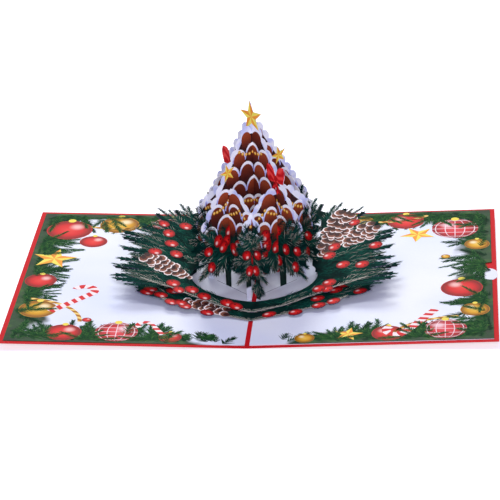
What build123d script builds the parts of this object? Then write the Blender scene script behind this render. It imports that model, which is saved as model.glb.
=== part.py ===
from build123d import *
import os
from math import cos, pi, radians, sin, sqrt, tan

os.makedirs("parts", exist_ok=True)

# A pop-up greetings card, open flat. X runs across both leaves, Y along the fold to the
# back, Z up. The origin is under the middle of the fold. All sizes are in millimetres.

# Folded cover and the liners glued inside it
leaf_width = 150.0
leaf_depth = 200.0
leaf_tilt = 1.53
cover_thickness = 0.35
fold_flat = 2.0
liner_thickness = 0.30
red_border = 3.0
red_stripe = 3.0

# Pocket in the right leaf and the note card that slides in it
spacer_thickness = 0.35
spacer_arm = 10.0
pocket_stop = 50.0
pocket_play = 1.0
note_thickness = 0.30
note_edge = 8.0
tab_width = 18.0
tab_corner = 6.0
tab_shift = -4.5
notch_width = 27.0
notch_depth = 12.0

# Slotted paper panels of the tree
paper = 0.30
slot_play = 0.05
panel_gap = 21.0
seat_play = 0.02
snow_radius = 4.5
snow_first = 5.0
snow_humps = 9
snow_run = 4.3
snow_drop = 6.6
centre_peak = 100.0
side_humps = ((4.8, 64.6), (10.2, 62.5), (14.8, 57.5), (19.5, 53.5), (24.2, 49.5))
foliage_top = 46.0
foliage_foot = 15.0
centre_hem = 36.0
side_hem = 23.0
hem_pitch = 11.0
hem_sprig = 10.5
hem_swing = 20.0
end_sprigs = ((20.0, 48.0, 13.0), (12.0, 8.0, 15.0), (7.0, -28.0, 11.0))
end_berries = ((3.0, 16.0, 30.0), (1.0, 5.0, 70.0))
panel_needle = 6.0
leg_width = 4.8
foot_width = 3.4
leg_beside = 3.2
overhang_foot = 25.0
slit_play = 0.15
crossing_level = {0: 62.0, 1: 44.0, 2: 34.0}

# Stars and bows cut in one with the panels
top_star_radius = 10.4
top_star_height = 109.3
top_star_turn = 5.5
star_inner = 0.40
star_overlap = 1.7
small_star_turn = 10.0
small_star_radius = 6.2
small_star_height = 78.0
bow_height = 74.0
bow_span = 16.0

# Folded wreath sheets round the tree
upper_front = 54.8
upper_slope = 0.20
upper_lift = 0.10
lower_front = 64.0
lower_slope = 0.12
lower_lift = 0.06
hole_half = 39.4
hole_waist = 35.6
hole_front = 10.8
hole_round = 23.5
waist_length = 33.7
hole_side = 24.5
hole_back = 8.0
hole_step = 1.6
ring_back = 8.0
brace_length = 20.0
brace_flange = 6.0
brace_out = 50.0
brace_back = 52.0


# Flat outlines shared by the pieces
def patch(*points):
    """Polygon that faces up, whichever way round its corners are given."""
    ends = points[1:] + points[:1]
    area = sum(a[0] * b[1] - b[0] * a[1] for a, b in zip(points, ends))
    return Polygon(*(points if area > 0 else points[::-1]))


def star(radius, turn=0.0):
    """Five-pointed star, one point up when turn is 0."""
    points = []
    for i in range(10):
        reach = radius if i % 2 == 0 else radius * star_inner
        angle = radians(90 + turn + 36 * i)
        points.append((reach * cos(angle), reach * sin(angle)))
    return patch(*points)


def oval(x, y, half_length, half_width, heading=0.0, sides=12):
    """Oval die-cut as a many-sided patch."""
    rim = [2 * pi * i / sides for i in range(sides)]
    flat = patch(*[(half_length * cos(a), half_width * sin(a)) for a in rim])
    return Pos(x, y) * Rot(0, 0, heading) * flat


def fir_spray(x, y, heading, length, needle, pairs=4, lean=27.0):
    """Sprig of fir as a saw-edged blade: pairs of needles lean forward along a stem."""
    turn = radians(heading)
    stem = 0.14 * needle
    right, left = [], []
    for i in range(pairs):
        start = length * (i + 0.05) / (pairs + 0.6)
        step = length / (pairs + 0.6)
        reach = needle * (1.0 - 0.35 * i / pairs)
        ahead = start + reach * cos(radians(lean))
        out = reach * sin(radians(lean))
        right += [(ahead, -out), (start + step, -stem)]
        left += [(ahead, out), (start + step, stem)]
    blade = [(-stem, -stem)] + right + [(length, 0.0)] + left[::-1] + [(-stem, stem)]
    spots = [(x + a * cos(turn) - b * sin(turn), y + a * sin(turn) + b * cos(turn)) for a, b in blade]
    return patch(*spots)


def berry(x, y, radius=3.1, stretch=1.2, heading=0.0):
    """Oval berry."""
    return oval(x, y, radius * stretch, radius, heading, sides=10)


def pine_cone(x, y, heading, length=33.0, width=21.0, rows=5):
    """Pine cone as a stack of rounded scales, widest a third of the way up."""
    turn = radians(heading)
    scales = []
    for i in range(rows):
        along = length * (i + 0.5) / (rows + 0.4)
        share = sin(pi * (0.18 + 0.70 * (i + 0.5) / rows)) ** 0.8
        spot = (x + along * cos(turn), y + along * sin(turn))
        scales.append(oval(*spot, 0.62 * length / rows, share * width / 2, heading))
    half = 0.5 * length / rows
    tip = length - half
    scales.append(oval(x + tip * cos(turn), y + tip * sin(turn), half, half, heading))
    return scales


def bow(x, y, span):
    """Ribbon bow with two loops and two tails."""
    half = span / 2
    loops = []
    for side in (-1, 1):
        loops.append(
            patch(
                (x, y + 0.16 * half),
                (x + side * 0.45 * half, y + 0.95 * half),
                (x + side * 0.92 * half, y + 1.05 * half),
                (x + side * half, y + 0.35 * half),
                (x + side * 0.80 * half, y - 0.30 * half),
                (x, y - 0.20 * half),
            )
        )
        loops.append(
            patch(
                (x, y + 0.1 * half),
                (x + side * 0.62 * half, y - 1.25 * half),
                (x + side * 0.30 * half, y - 1.05 * half),
                (x + side * 0.10 * half, y - 1.30 * half),
                (x - side * 0.08 * half, y - 0.1 * half),
            )
        )
    return loops


def joined(shapes):
    """One flat outline from overlapping ones."""
    return Sketch() + shapes


def plate(plane, outline, thickness, lift=0.0):
    """Flat piece of the outline, standing on the plane on its normal's side."""
    return extrude(plane.offset(lift) * outline, amount=thickness, dir=plane.z_dir)


# The two leaves as planes: x runs out from the fold on the cover's upper face
tilt = radians(leaf_tilt)
fold_edge = fold_flat / 2 - cover_thickness * tan(tilt / 2)
leaf_plane = {
    side: Plane(
        origin=(side * fold_edge, 0, cover_thickness),
        x_dir=(side * cos(tilt), 0, sin(tilt)),
        z_dir=(-side * sin(tilt), 0, cos(tilt)),
    )
    for side in (-1, 1)
}
base_lift = {-1: 0.0, 1: spacer_thickness}


def leaf_height(x, lift):
    """Height of a face that lies lift above the cover, at x across the card."""
    return cover_thickness + (abs(x) - fold_edge) * tan(tilt) + lift / cos(tilt)


def liner_top(x):
    """Height of the printed face at x; the right liner lies on the spacer."""
    side = 1 if x > 0 else -1
    return leaf_height(x, base_lift[side] + liner_thickness)


def build_cover():
    """Red card, scored and pressed along the fold, with both leaves rising a little."""
    reach = leaf_width - fold_flat / 2
    tip = (fold_flat / 2 + reach * cos(tilt), reach * sin(tilt))
    top = (tip[0] - cover_thickness * sin(tilt), tip[1] + cover_thickness * cos(tilt))
    right = [(fold_flat / 2, 0), tip, top, (fold_edge, cover_thickness)]
    left = [(-x, z) for x, z in right[::-1]]
    return extrude(Plane.XZ.offset(-leaf_depth / 2) * patch(*(left + right)), amount=leaf_depth)


# Directions of the panels in plan
half_root = sqrt(0.5)
rising = (half_root, half_root)
falling = (half_root, -half_root)


def panel_spot(direction, distance, s):
    """Plan position of the point s along a panel."""
    across = (direction[1], -direction[0])
    if direction is falling:
        across = (-across[0], -across[1])
    return (s * direction[0] + distance * across[0], s * direction[1] + distance * across[1])


def panel_plane(direction, distance):
    """Upright plane of a panel: x along the panel, y up."""
    x, y = panel_spot(direction, distance, 0)
    return Plane(origin=(x, y, 0), x_dir=(*direction, 0), z_dir=(direction[1], -direction[0], 0))


def snowy(edge, foot):
    """Body of a panel under round humps of snow that step down both sides."""
    right = [(s, z) for s, z in edge] + [(edge[-1][0] - 1, foot)]
    body = [(-s, z) for s, z in right[::-1]] + right
    shapes = [patch(*body)]
    for s, z in edge:
        for side in (-1, 1):
            shapes.append(oval(side * s, z, snow_radius, snow_radius))
    return shapes


def centre_edge():
    """Hump centres of a centre panel, from the peak down to the fir at its corner."""
    return [(snow_first + snow_run * i, centre_peak - snow_drop * i) for i in range(snow_humps)]


def foliage(hem, reach, foot):
    """Fir along the lower edge and at both ends of a panel."""
    shapes = [patch((-hem - 3, foliage_top), (-hem, foot + 3), (hem, foot + 3), (hem + 3, foliage_top))]
    count = int(2 * hem / hem_pitch)
    for i in range(count):
        s = -hem + 2 * hem * (i + 0.5) / count
        swing = hem_swing if i % 2 else -hem_swing
        shapes.append(fir_spray(s, foot + 7, -90 + swing, hem_sprig, panel_needle, pairs=3))
    for side in (-1, 1):
        for rise, heading, length in end_sprigs:
            angle = heading if side > 0 else 180 - heading
            spot = (side * (hem - 1), foot + rise)
            shapes.append(fir_spray(*spot, angle, length * reach, panel_needle, pairs=5))
        for out, rise, heading in end_berries:
            shapes.append(berry(side * (hem + out), foot + rise, heading=side * heading))
    return shapes


def leg(s, spot, foot_lift, width):
    """Leg from the foliage down to the leaf, its end cut to the leaf's slope."""
    ends = []
    for edge in (s - width / 2, s + width / 2):
        x = spot(edge)[0]
        side = 1 if x > 0 else -1
        ends.append((edge, leaf_height(x, base_lift[side] + foot_lift) + seat_play))
    top = foliage_foot + 6
    return patch(ends[0], ends[1], (ends[1][0] + 0.4, top), (ends[0][0] - 0.4, top))


def slot(s, low, high):
    """Half-lap slot for a crossing panel."""
    width = paper + 2 * slot_play
    return Pos(s, (low + high) / 2) * Rectangle(width, high - low)


def side_legs(direction, distance):
    """Legs of a side panel, as (s, goes through the liner).

    One leg beside its middle and one at its own leaf's corner go through slits in the
    liner. The overhang past the fold rests on the other leaf.
    """
    outer = 1 if distance > 0 else -1
    beside = leg_beside if direction is rising else -leg_beside
    return (
        (beside, True),
        (outer * (panel_gap - 1.0), True),
        (-outer * overhang_foot, False),
    )


def opens_upwards(direction, distance, offset):
    """Whether a panel's slot is open at the top.

    The falling centre panel goes in last, from above, so all the others are open to it.
    The rising panels sit astride the falling side panels.
    """
    if direction is rising:
        return offset == 0
    return distance != 0


def ornaments(direction):
    """What stands above the snow of a centre panel, cut in one with it."""
    if direction is rising:
        sprig = star(small_star_radius, turn=small_star_turn)
        return [Pos(side * panel_gap, small_star_height) * sprig for side in (-1, 1)]
    foot = top_star_height - star_inner * top_star_radius + star_overlap
    shapes = [
        patch((-snow_first, centre_peak), (snow_first, centre_peak), (0.9, foot), (-0.9, foot)),
        Pos(0, top_star_height) * star(top_star_radius, turn=top_star_turn),
    ]
    for side in (-1, 1):
        shapes += bow(side * panel_gap, bow_height, bow_span)
    return shapes


def build_panel(direction, distance):
    """One tree panel with its snow, foliage, legs, ornaments and half-lap slots.

    The crumb of a snow hump that a slot cuts off falls away, as it does on the die.
    """
    centre = distance == 0
    if centre:
        shapes = snowy(centre_edge(), foliage_top - 6)
        shapes += foliage(centre_hem, 0.95, foliage_foot)
        shapes += ornaments(direction)
    else:
        shapes = snowy(side_humps, foliage_top - 6)
        shapes += foliage(side_hem, 0.62, foliage_foot)
        for s, through in side_legs(direction, distance):
            lift = 0.0 if through else liner_thickness
            width = leg_width if through else foot_width
            shapes.append(leg(s, lambda t: panel_spot(direction, distance, t), lift, width))
    outline = joined(shapes)
    for offset in (-panel_gap, 0.0, panel_gap):
        order = int(abs(offset) > 0) + int(not centre)
        level = crossing_level[order]
        upwards = opens_upwards(direction, distance, offset)
        span = (level, top_star_height) if upwards else (0.0, level)
        outline -= slot(offset, *span)
    whole = max(outline.faces(), key=lambda face: face.area)
    return plate(panel_plane(direction, distance), whole, paper, lift=-paper / 2)


# Wreath sheets: each wing is a plane that rises to the back and away from the fold
def crease_height(lift):
    """Height of a sheet's crease at its front end, where its wings clear the liners."""
    return liner_top(red_stripe / 2) + seat_play - lift * red_stripe / 2


def wing_plane(side, front, height, slope, lift):
    """Plane of a wing: x across towards +X, y back along the crease."""
    along = Vector(0, 1, slope).normalized()
    out = Vector(1, 0, side * lift)
    across = (out - along * out.dot(along)).normalized()
    return Plane(origin=(0, -front, height), x_dir=across, z_dir=across.cross(along))


def wing_face(side, front, height, slope, lift):
    """The wing's height as a function of plan position."""
    return lambda x, y: height + slope * (y + front) + lift * side * x


lower_height = crease_height(lower_lift)
lower_skin = paper * sqrt(1 + lower_slope**2 + lower_lift**2)
upper_height = lower_height + lower_slope * (lower_front - upper_front) + lower_skin + seat_play


def hole(front, grow=0.0):
    """Opening round the tree: oval at the front, a waist beside it, wide and blunt behind."""
    half = hole_half + grow
    middle = front + hole_round
    shoulder = middle + waist_length
    end = shoulder + hole_side
    return [
        Pos(0, middle) * Ellipse(half, hole_round + grow),
        Pos(0, (middle + shoulder) / 2) * Rectangle(2 * (hole_waist + grow), waist_length),
        Pos(0, (shoulder + end) / 2) * Rectangle(2 * half, hole_side + 2 * grow),
        Pos(0, end) * Ellipse(half, hole_back + grow),
    ]


def half_plane(side, reach=120.0):
    """Everything on one side of the crease."""
    return Pos(side * reach / 2, 40) * Rectangle(reach, 2 * reach)


def fans(side, rows):
    """Fir sprigs of one wing, from rows of x, y, heading, length and needle."""
    shapes = []
    for x, y, heading, length, needle in rows:
        turn = heading if side > 0 else 180 - heading
        shapes.append(fir_spray(side * x, y, turn, length, needle, pairs=6))
    return shapes


def ring_end(front):
    """How far back the middle of a sheet reaches, from its own front tip."""
    hole_end = hole_front + hole_round + waist_length + hole_side + hole_back
    return front - upper_front + hole_end + ring_back


def upper_outline(side):
    """Upper sheet: fir fans, two cones on the right, one on the left, and berries."""
    back = ring_end(upper_front)
    ring = [
        (0, 0), (19, 4), (35, 11.5), (52, 20), (70, 27), (74, 42), (73, 58), (72, 70),
        (62, 80), (52, 95), (36, back - 3), (0, back),
    ]
    shapes = [patch(*[(side * x, y) for x, y in ring])]
    shapes += fans(
        side,
        (
            (62, 23, 4, 25, 6.5), (64, 30, -4, 24, 6.5), (62, 37, 6, 21, 6.5), (64, 45, 3, 22, 6.5),
            (62, 53, 12, 24, 6.5), (62, 61, 20, 26, 6.5), (62, 69, 14, 25, 6.5), (58, 76, 22, 18, 6.5),
            (54, 84, 48, 20, 6), (48, 91, 62, 15, 6), (36, back - 8, 74, 12, 5), (22, back - 4, 78, 9, 5),
        ),
    )
    for x, y, heading in ((46, 17.5, 25), (61, 87, 40)):
        shapes.append(berry(side * x, y, heading=side * heading))
    cones = ((44, 52, 74, 48, 23), (57, 62, 52, 30, 18)) if side > 0 else ((-38, 31.5, 146, 36, 21),)
    for x, y, heading, length, width in cones:
        shapes += pine_cone(x, y, heading, length, width)
    return joined(shapes)


def lower_outline(side):
    """Lower sheet: berries along the front and fir at the tips."""
    back = ring_end(lower_front) - 3
    ring = [
        (0, 0), (18, 5), (36, 11), (47, 15), (58, 22.5), (70, 30), (76, 42), (72, 58),
        (60, 74), (50, 92), (36, back - 3), (0, back),
    ]
    shapes = [patch(*[(side * x, y) for x, y in ring])]
    shapes += fans(
        side,
        (
            (58, 24, 22, 16, 6), (64, 36, 28, 19, 6), (64, 48, 20, 28, 6), (58, 60, 24, 24, 6),
            (54, 72, 34, 22, 6), (48, 86, 56, 18, 6),
        ),
    )
    for x, y, heading in ((27, 7, 18), (41, 13.5, 22), (50, 17.5, 28), (66, 27.5, 22)):
        shapes.append(berry(side * x, y, heading=side * heading, stretch=1.45))
    return joined(shapes)


def build_sheet(outline, front, height, slope, lift, hole_start, grow):
    """Sheet folded on its crease, with the hole round the tree cut from both wings."""
    wings = []
    for side in (-1, 1):
        flat = outline(side) & half_plane(side)
        for cut in hole(hole_start, grow):
            flat -= cut
        wings.append(plate(wing_plane(side, front, height, slope, lift), flat, paper))
    return wings[0] + wings[1]


def build_brace(side, bottom, sheet):
    """Folded strip that holds a wing up: a web with a glued flange at each end."""
    front, height, slope, lift = sheet
    top_plane = wing_plane(side, front, height, slope, lift)
    face = wing_face(side, front, height, slope, lift)
    w0 = side * brace_out
    x = w0 * top_plane.x_dir.X
    y_mid = -front + brace_back * top_plane.y_dir.Y + w0 * top_plane.x_dir.Y
    ends = (y_mid - brace_length / 2, y_mid + brace_length / 2)
    corners = [(y, bottom(x, y) + seat_play) for y in ends]
    corners += [(y, face(x, y) - 2 * seat_play) for y in ends[::-1]]
    web = extrude(Plane.YZ.offset(x - paper / 2) * patch(*corners), amount=paper, dir=(1, 0, 0))
    flap = Pos(w0 + side * brace_flange / 2, brace_back) * Rectangle(brace_flange, brace_length * 0.99)
    upper = plate(top_plane, flap, paper, lift=-paper - seat_play)
    return web + upper, x, y_mid


def brace_to_leaf(side):
    """Strip between the leaf and the lower sheet."""
    sheet = (lower_front, lower_height, lower_slope, lower_lift)
    body, x, y = build_brace(side, lambda a, b: liner_top(a), sheet)
    along = (abs(x) - fold_edge) / cos(tilt)
    flap = Pos(along + brace_flange / 2, side * y) * Rectangle(brace_flange, brace_length)
    return body + plate(leaf_plane[side], flap, paper, lift=base_lift[side] + liner_thickness + seat_play)


def brace_to_sheet(side):
    """Strip between the lower and the upper sheet."""
    sheet = (upper_front, upper_height, upper_slope, upper_lift)
    lower = wing_face(side, lower_front, lower_height, lower_slope, lower_lift)
    body, x, y = build_brace(side, lambda a, b: lower(a, b) + lower_skin, sheet)
    plane = wing_plane(side, lower_front, lower_height, lower_slope, lower_lift)
    w0 = x / plane.x_dir.X
    c0 = (y + lower_front - w0 * plane.x_dir.Y) / plane.y_dir.Y
    flap = Pos(w0 + side * brace_flange / 2, c0) * Rectangle(brace_flange, brace_length * 0.99)
    return body + plate(plane, flap, paper, lift=paper + seat_play)


# Leaves' own pieces
inner_depth = leaf_depth - 2 * red_border
liner_start = red_stripe / 2 - fold_edge
liner_end = leaf_width - red_border - fold_edge
note_end = leaf_width - note_edge - fold_edge
notch_rim = liner_end - notch_depth


def slits(side):
    """Slits through a liner for the legs that stand on its leaf."""
    cuts = []
    for direction in (rising, falling):
        for distance in (-panel_gap, panel_gap):
            for s, through in side_legs(direction, distance):
                x, y = panel_spot(direction, distance, s)
                if through and x * side > 0:
                    along = (abs(x) - fold_edge) / cos(tilt)
                    angle = 45 if direction is rising else -45
                    cuts.append(
                        Pos(along, side * y)
                        * Rot(0, 0, angle)
                        * Rectangle(leg_width + 2 * slit_play, paper + 2 * slot_play)
                    )
    return cuts


def build_liner(side):
    """Printed sheet glued to a leaf; the right one has the thumb notch of the pocket."""
    middle = (liner_start + liner_end) / 2
    outline = Pos(middle, 0) * Rectangle(liner_end - liner_start, inner_depth)
    for cut in slits(side):
        outline -= cut
    if side > 0:
        half = notch_width / 2
        rim = Polyline((liner_end + 1, -half), (liner_end, -half)) + ThreePointArc(
            (liner_end, -half), (notch_rim, 0), (liner_end, half)
        )
        rim += Polyline((liner_end, half), (liner_end + 1, half), (liner_end + 1, -half))
        outline -= make_face(rim)
    return plate(leaf_plane[side], outline, liner_thickness, lift=base_lift[side])


def build_pocket_spacer():
    """Glued spacer card that leaves the pocket open towards the right edge."""
    middle = (liner_start + liner_end) / 2
    outline = Pos(middle, 0) * Rectangle(liner_end - liner_start, inner_depth)
    pocket = inner_depth - 2 * spacer_arm
    room = leaf_width - pocket_stop
    outline -= Pos(pocket_stop - fold_edge + room / 2, 0) * Rectangle(room, pocket)
    for cut in slits(1):
        outline -= cut
    return plate(leaf_plane[1], outline, spacer_thickness)


def build_note_card():
    """Blank note card in the pocket, with a rounded pull tab."""
    start = pocket_stop + pocket_play - fold_edge
    depth = inner_depth - 2 * spacer_arm - 2 * pocket_play
    outline = Pos((start + note_end) / 2, 0) * Rectangle(note_end - start, depth)
    tab = note_edge + tab_corner
    rounded = RectangleRounded(2 * tab, tab_width, tab_corner)
    outline += Pos(note_end + note_edge - tab, tab_shift) * rounded
    return plate(leaf_plane[1], outline, note_thickness)


pieces = {
    "cover": build_cover(),
    "left_liner": build_liner(-1),
    "right_liner": build_liner(1),
    "pocket_spacer": build_pocket_spacer(),
    "note_card": build_note_card(),
    "tree_panel_rising_centre": build_panel(rising, 0),
    "tree_panel_rising_front": build_panel(rising, panel_gap),
    "tree_panel_rising_back": build_panel(rising, -panel_gap),
    "tree_panel_falling_centre": build_panel(falling, 0),
    "tree_panel_falling_front": build_panel(falling, -panel_gap),
    "tree_panel_falling_back": build_panel(falling, panel_gap),
    "wreath_lower": build_sheet(
        lower_outline, lower_front, lower_height, lower_slope, lower_lift,
        hole_front + lower_front - upper_front, hole_step,
    ),
    "wreath_upper": build_sheet(
        upper_outline, upper_front, upper_height, upper_slope, upper_lift, hole_front, 0.0
    ),
}
for side, word in ((-1, "left"), (1, "right")):
    pieces["brace_lower_" + word] = brace_to_leaf(side)
    pieces["brace_upper_" + word] = brace_to_sheet(side)

for name, piece in pieces.items():
    export_step(piece, "parts/" + name + ".step")
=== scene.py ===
import random
from math import atan2, cos, degrees, hypot, pi, radians, sin, sqrt, tan

import bpy
import numpy as np
from mathutils import Matrix, Vector


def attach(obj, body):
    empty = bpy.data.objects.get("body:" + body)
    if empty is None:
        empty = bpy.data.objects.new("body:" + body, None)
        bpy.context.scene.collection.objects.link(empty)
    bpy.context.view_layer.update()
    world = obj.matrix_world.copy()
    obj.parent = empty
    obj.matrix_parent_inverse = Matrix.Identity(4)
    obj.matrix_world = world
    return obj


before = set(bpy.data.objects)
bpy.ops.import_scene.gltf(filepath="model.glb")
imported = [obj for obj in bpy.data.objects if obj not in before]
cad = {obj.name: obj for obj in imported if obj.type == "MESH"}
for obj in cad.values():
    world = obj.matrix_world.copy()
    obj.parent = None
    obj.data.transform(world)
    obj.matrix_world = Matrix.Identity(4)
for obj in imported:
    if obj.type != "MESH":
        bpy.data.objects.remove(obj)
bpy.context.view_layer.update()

# Camera
# The card is seen from the front and well above, with a long lens.
look_yaw, look_pitch, look_roll = radians(-4.80), radians(23.77), radians(-2.29)
ahead = Vector((sin(look_yaw) * cos(look_pitch), cos(look_yaw) * cos(look_pitch), -sin(look_pitch)))
level_right = ahead.cross(Vector((0, 0, 1))).normalized()
level_up = level_right.cross(ahead)
right = cos(look_roll) * level_right + sin(look_roll) * level_up
up = -sin(look_roll) * level_right + cos(look_roll) * level_up
camera = bpy.data.objects.new("camera", bpy.data.cameras.new("camera"))
bpy.context.scene.collection.objects.link(camera)
sensor, focal_pixels, picture_pixels = 36.0, 2712.6, 500
aim, away = Vector((-0.00404, 0, 0.01998)), 1.69903
camera.data.sensor_width = sensor
camera.data.lens = sensor * focal_pixels / picture_pixels
turned = Matrix((right, up, -ahead)).transposed().to_4x4()
camera.matrix_world = Matrix.Translation(aim - ahead * away) @ turned
bpy.context.scene.camera = camera
bpy.context.scene.view_settings.view_transform = "Standard"

# Floor, surroundings and lamps
# A white studio floor. What the camera sees of it and past it is white, and the card's shadow stays.


def add(tree, kind, *inputs, **settings):
    """New node with its settings made and its inputs linked or set; None leaves an input alone."""
    node = tree.nodes.new(kind)
    for key, value in settings.items():
        setattr(node, key, value)
    for socket, value in zip(node.inputs, inputs):
        if isinstance(value, bpy.types.NodeSocket):
            tree.links.new(value, socket)
        elif value is not None:
            socket.default_value = value
    return node


def sums(tree, operation, *inputs):
    """Result of a sum on two or three values."""
    return add(tree, "ShaderNodeMath", *inputs, operation=operation).outputs[0]


def ink(red, green, blue):
    """Linear colour of a screen colour given in 0 to 255."""
    parts = [c / 255 for c in (red, green, blue)]
    return (*[c / 12.92 if c <= 0.04045 else ((c + 0.055) / 1.055) ** 2.4 for c in parts], 1.0)


world = bpy.data.worlds.new("white room")
bpy.context.scene.world = world
world.use_nodes = True
sky = world.node_tree
path = add(sky, "ShaderNodeLightPath")
seen = sums(sky, "MAXIMUM", path.outputs["Is Camera Ray"], path.outputs["Is Glossy Ray"])
seen = sums(sky, "MAXIMUM", seen, path.outputs["Is Transmission Ray"])
tint = add(sky, "ShaderNodeMix", seen, data_type="RGBA")
tint.inputs[6].default_value = ink(200, 190, 255)
tint.inputs[7].default_value = (1, 1, 1, 1)
strength = sums(sky, "MULTIPLY_ADD", seen, 0.76, 0.24)
sky.nodes["Background"].inputs[1].default_value = 1.0
sky.links.new(tint.outputs[2], sky.nodes["Background"].inputs[0])
sky.links.new(strength, sky.nodes["Background"].inputs[1])

floor_mesh = bpy.data.meshes.new("floor")
reach, level = 4.0, -0.0004
corners = [(-reach, -reach, level), (reach, -reach, level), (reach, reach, level), (-reach, reach, level)]
floor_mesh.from_pydata(corners, [], [(0, 1, 2, 3)])
floor = bpy.data.objects.new("floor", floor_mesh)
bpy.context.scene.collection.objects.link(floor)
floor_paint = bpy.data.materials.new("white floor")
floor_paint.use_nodes = True
tree = floor_paint.node_tree
shade = tree.nodes["Principled BSDF"]
shade.inputs["Base Color"].default_value = ink(238, 240, 246)
shade.inputs["Roughness"].default_value = 0.9
path = add(tree, "ShaderNodeLightPath")
glow = sums(tree, "MAXIMUM", path.outputs["Is Camera Ray"], path.outputs["Is Glossy Ray"])
glow = add(tree, "ShaderNodeEmission", (1, 1, 1, 1), sums(tree, "MULTIPLY", glow, 0.55))
both = add(tree, "ShaderNodeAddShader", shade.outputs[0], glow.outputs[0])
tree.links.new(both.outputs[0], tree.nodes["Material Output"].inputs[0])
floor_mesh.materials.append(floor_paint)

for name, place, size, watts, colour in (
    ("top lamp", (-0.05, 0.25, 1.35), 0.45, 5.4, (1.0, 0.98, 0.94)),
    ("back lamp", (-0.10, 1.15, 0.85), 0.50, 13.6, (1.0, 0.99, 0.93)),
    ("front lamp", (0.14, -1.60, 0.74), 0.4, 17.5, (0.92, 0.89, 1.0)),
):
    lamp = bpy.data.objects.new(name, bpy.data.lights.new(name, "AREA"))
    lamp.data.size = size
    lamp.data.energy = watts
    lamp.data.color = colour
    lamp.location = place
    lamp.rotation_euler = (Vector((0, 0, 0.02)) - Vector(place)).to_track_quat("-Z", "Y").to_euler()
    bpy.context.scene.collection.objects.link(lamp)

# Cover
# One sheet of card folded in the middle, printed red on both faces with a smooth matte coat. The
# printed leaves are glued on it, and the tree and the wreath stand over its fold.


def card_stock(name, colour, speckle=0.06, grain=900.0, rough=0.65, fibre=0.06, sheen=0.12):
    """Coated card: its colour wavers a little, and fine fibres show in the light.

    colour is a screen colour or a function that makes a colour socket in the tree.
    """
    paint = bpy.data.materials.new(name)
    paint.use_nodes = True
    tree = paint.node_tree
    shade = tree.nodes["Principled BSDF"]
    place = add(tree, "ShaderNodeTexCoord").outputs["Object"]
    fine = add(tree, "ShaderNodeTexNoise", place, None, grain, 3.0).outputs["Fac"]
    value = sums(tree, "MULTIPLY_ADD", fine, speckle * 2, 1 - speckle)
    shift = add(tree, "ShaderNodeMix", 1.0, data_type="RGBA", blend_type="MULTIPLY")
    if callable(colour):
        tree.links.new(colour(tree), shift.inputs[6])
    else:
        shift.inputs[6].default_value = ink(*colour)
    tree.links.new(value, shift.inputs[7])
    tree.links.new(shift.outputs[2], shade.inputs["Base Color"])
    shade.inputs["Roughness"].default_value = rough
    shade.inputs["Specular IOR Level"].default_value = sheen
    bump = add(tree, "ShaderNodeBump", fibre, 0.0001)
    tree.links.new(fine, bump.inputs["Height"])
    tree.links.new(bump.outputs[0], shade.inputs["Normal"])
    return paint


def wear(node, paint):
    """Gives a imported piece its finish."""
    cad[node].data.materials.clear()
    cad[node].data.materials.append(paint)


red_card = card_stock("red card", (202, 22, 32), speckle=0.05, sheen=0.06)
wear("cover", red_card)

# Pocket, note card and hidden braces
# Plain white board: the pocket's spacer, the note card that slides in it, and the folded strips
# that hold up the wreath.
white_board = card_stock("white board", (236, 242, 252), speckle=0.03, rough=0.7)
for node in (
    "pocket_spacer", "note_card", "brace_lower_left", "brace_lower_right", "brace_upper_left",
    "brace_upper_right",
):
    wear(node, white_board)

# Printed leaves
# One white sheet glued on each leaf, with a printed border of fir, glass balls, stars and sugar
# canes. The ground is a pale blue white that turns dark green under the fir.
mm = 0.001
leaf_tilt, fold_edge = radians(1.53), 0.995
# Height of each printed face at the fold: the right leaf's sheet lies on the note card's pocket.
leaf_face = {-1: 0.65, 1: 1.0}
sheet_end, sheet_half = 147.0, 97.0
edge_margin = 0.5


def local(tree):
    """Place inside a printed motif, across and up, and the motif's own tone."""
    grain = add(tree, "ShaderNodeAttribute", attribute_name="grain").outputs["Vector"]
    tone = add(tree, "ShaderNodeAttribute", attribute_name="tone").outputs["Fac"]
    split = add(tree, "ShaderNodeSeparateXYZ", grain)
    return split.outputs[0], split.outputs[1], tone


def ramp(tree, value, *stops):
    """Colour along a row of stops, each a place and a screen colour."""
    node = add(tree, "ShaderNodeValToRGB", value)
    band = node.color_ramp
    while len(band.elements) < len(stops):
        band.elements.new(0.5)
    for element, (place, colour) in zip(band.elements, stops):
        element.position = place
        element.color = ink(*colour)
    return node.outputs[0]


def blend(tree, share, under, over):
    """Over laid on under by its share; either is a socket or a screen colour."""
    node = add(tree, "ShaderNodeMix", share, data_type="RGBA", clamp_factor=True)
    for socket, value in ((node.inputs[6], under), (node.inputs[7], over)):
        if isinstance(value, bpy.types.NodeSocket):
            tree.links.new(value, socket)
        else:
            socket.default_value = ink(*value)
    return node.outputs[2]


def step(tree, value, start, end):
    """Share that grows smoothly from 0 at start to 1 at end."""
    node = add(tree, "ShaderNodeMapRange", value, start, end, 0.0, 1.0, interpolation_type="SMOOTHSTEP")
    return node.outputs[0]


def reach_of(tree, x, y):
    """Length of a way across and up."""
    return sums(tree, "SQRT", sums(tree, "ADD", sums(tree, "POWER", x, 2.0), sums(tree, "POWER", y, 2.0)))


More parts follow.
